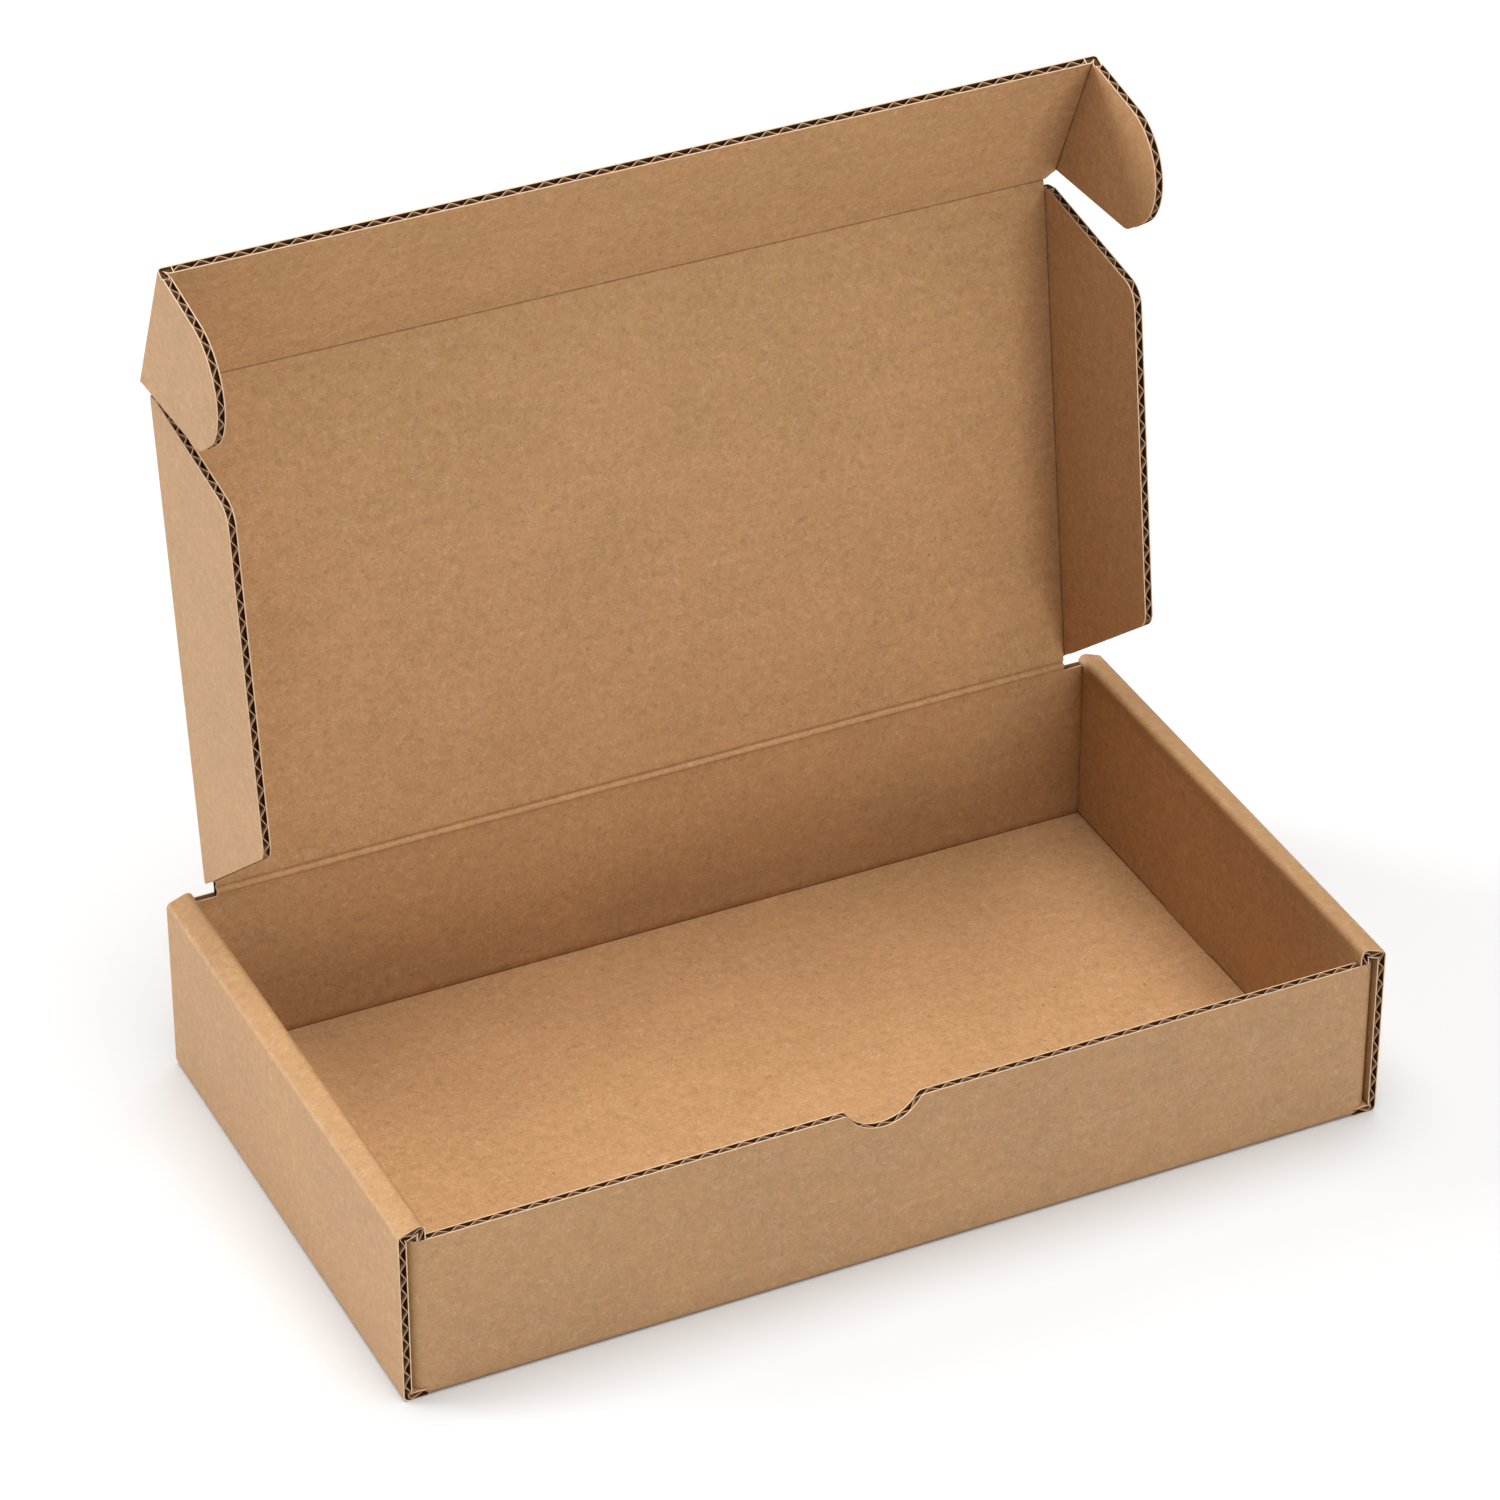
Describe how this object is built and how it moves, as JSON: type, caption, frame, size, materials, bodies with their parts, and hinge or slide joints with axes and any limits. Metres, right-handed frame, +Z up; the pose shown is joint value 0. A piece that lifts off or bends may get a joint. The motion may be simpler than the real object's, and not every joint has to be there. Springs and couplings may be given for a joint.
{
  "type": "mailer box",
  "caption": "Roll-end mailer box folded from one corrugated sheet, with a hinged lid, lid side flaps, a front tuck flap with ears and a thumb notch.",
  "frame": {"origin": "centre of the base's underside", "axes": "+X along the box to its right-hand end, +Y towards the hinge of the lid, +Z up"},
  "size_m": [0.35, 0.2213, 0.3027],
  "materials": {
    "kraft_board": "matt brown kraft liner"
  },
  "bodies": {
    "tray": {"tray": "kraft_board"},
    "lid": {"lid_panel": "kraft_board"},
    "side_flap_left": {"lid_side_flap_left": "kraft_board"},
    "side_flap_right": {"lid_side_flap_right": "kraft_board"},
    "tuck_flap": {"front_tuck_flap": "kraft_board"},
    "ear_left": {"ear_left": "kraft_board"},
    "ear_right": {"ear_right": "kraft_board"}
  },
  "joints": [
    {"name": "lid_hinge", "type": "hinge", "parent": "tray", "child": "lid", "pos_m": [0, 0.0965, 0.067], "axis": [1, 0, 0], "range_deg": [-82, 98]},
    {"name": "tuck_flap_hinge", "type": "hinge", "parent": "lid", "child": "tuck_flap", "pos_m": [0, 0.12183, 0.24723], "axis": [1, 0, 0], "range_deg": [-62, 74]},
    {"name": "side_flap_left_hinge", "type": "hinge", "parent": "lid", "child": "side_flap_left", "pos_m": [-0.16, 0.0965, 0.067], "axis": [0, 0.1392, 0.9903], "range_deg": [-90, 0]},
    {"name": "side_flap_right_hinge", "type": "hinge", "parent": "lid", "child": "side_flap_right", "pos_m": [0.16, 0.0965, 0.067], "axis": [0, -0.1392, -0.9903], "range_deg": [-90, 0]},
    {"name": "ear_left_hinge", "type": "hinge", "parent": "tuck_flap", "child": "ear_left", "pos_m": [-0.1633, 0.12183, 0.24723], "axis": [0, -0.4067, 0.9135], "range_deg": [-90, 0]},
    {"name": "ear_right_hinge", "type": "hinge", "parent": "tuck_flap", "child": "ear_right", "pos_m": [0.1633, 0.12183, 0.24723], "axis": [0, 0.4067, -0.9135], "range_deg": [-90, 0]}
  ],
  "couplings": [
    {"joint": "tuck_flap_hinge", "follows": "lid_hinge", "ratio": 0.7449}
  ]
}
